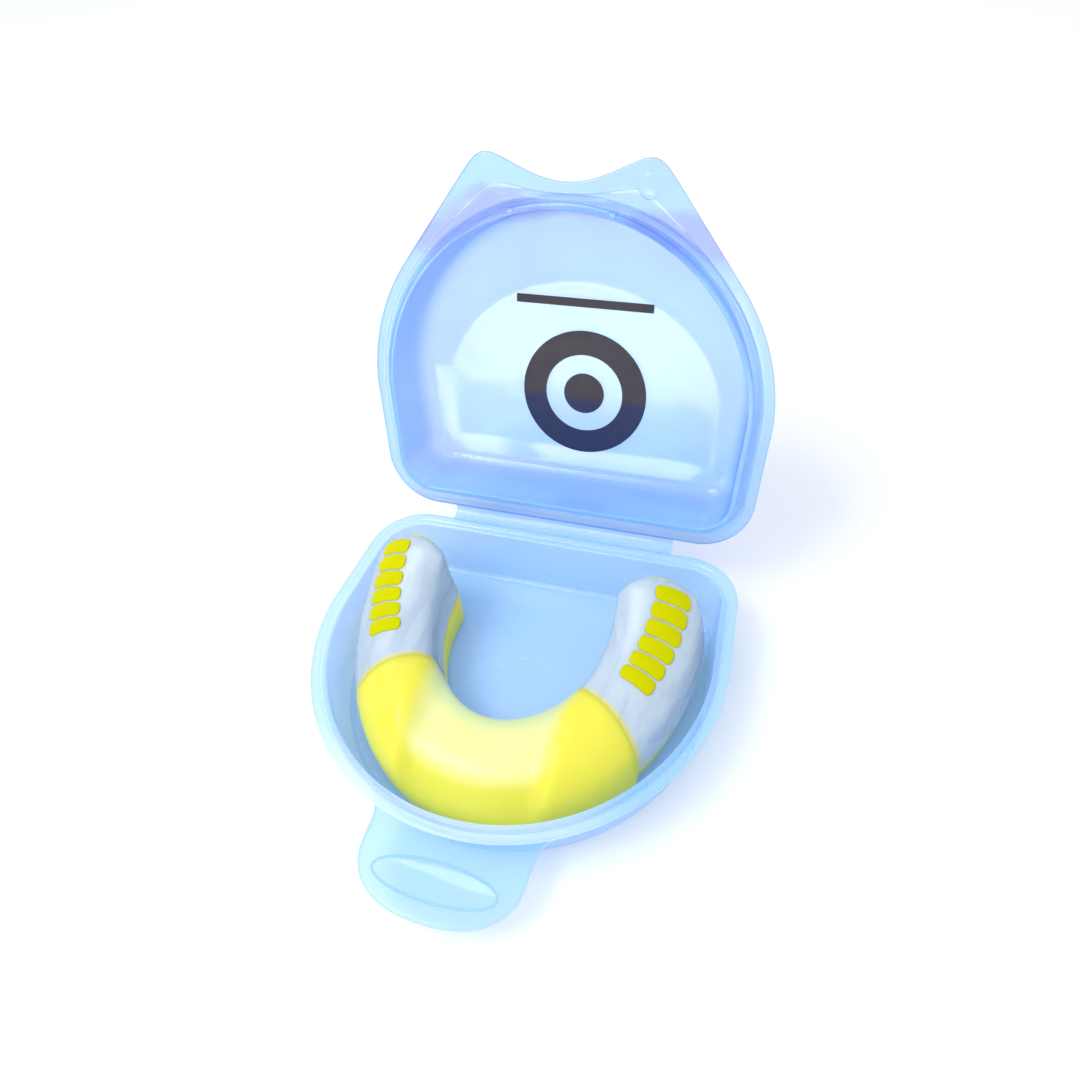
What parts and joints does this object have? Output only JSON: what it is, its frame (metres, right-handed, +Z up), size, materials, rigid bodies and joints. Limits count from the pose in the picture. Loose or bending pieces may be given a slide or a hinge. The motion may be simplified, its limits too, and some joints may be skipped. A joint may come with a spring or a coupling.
{
  "type": "mouthguard with case",
  "caption": "Boxing mouthguard with a yellow gel core, milky arm covers and grip rungs, in a clear hinged carry case with a thumb tab.",
  "frame": {"origin": "on the tray's flat underside, midway between the hinge edge and the front rim, on the centre line", "axes": "+X along the hinge, +Y towards the hinge, +Z up out of the tray"},
  "size_m": [0.0806, 0.1133, 0.0819],
  "materials": {
    "case_plastic": "clear light blue polypropylene, glossy",
    "hinge_film": "thin clear polypropylene film",
    "core_gel": "satin soft yellow elastomer",
    "cover_gel": "milky translucent elastomer",
    "rung_gel": "bright yellow elastomer"
  },
  "bodies": {
    "base": {"base_shell": "case_plastic", "hinge_web": "hinge_film"},
    "lid": {"lid_shell": "case_plastic"},
    "guard": {"guard_core": "core_gel", "guard_cover_left": "cover_gel", "guard_cover_right": "cover_gel", "bite_rung_left_1": "rung_gel", "bite_rung_left_2": "rung_gel", "bite_rung_left_3": "rung_gel", "bite_rung_left_4": "rung_gel", "bite_rung_left_5": "rung_gel", "bite_rung_left_6": "rung_gel", "bite_rung_right_1": "rung_gel", "bite_rung_right_2": "rung_gel", "bite_rung_right_3": "rung_gel", "bite_rung_right_4": "rung_gel", "bite_rung_right_5": "rung_gel", "bite_rung_right_6": "rung_gel"}
  },
  "joints": [
    {"name": "lid_hinge", "type": "hinge", "parent": "base", "child": "lid", "pos_m": [0, 0.035, 0.0135], "axis": [1, 0, 0], "range_deg": [-70.7, 109.3], "deforming": ["hinge_web"]},
    {"name": "guard_lift", "type": "slide", "parent": "base", "child": "guard", "axis": [0, 0, 1], "range_m": [0, 0.06]}
  ]
}
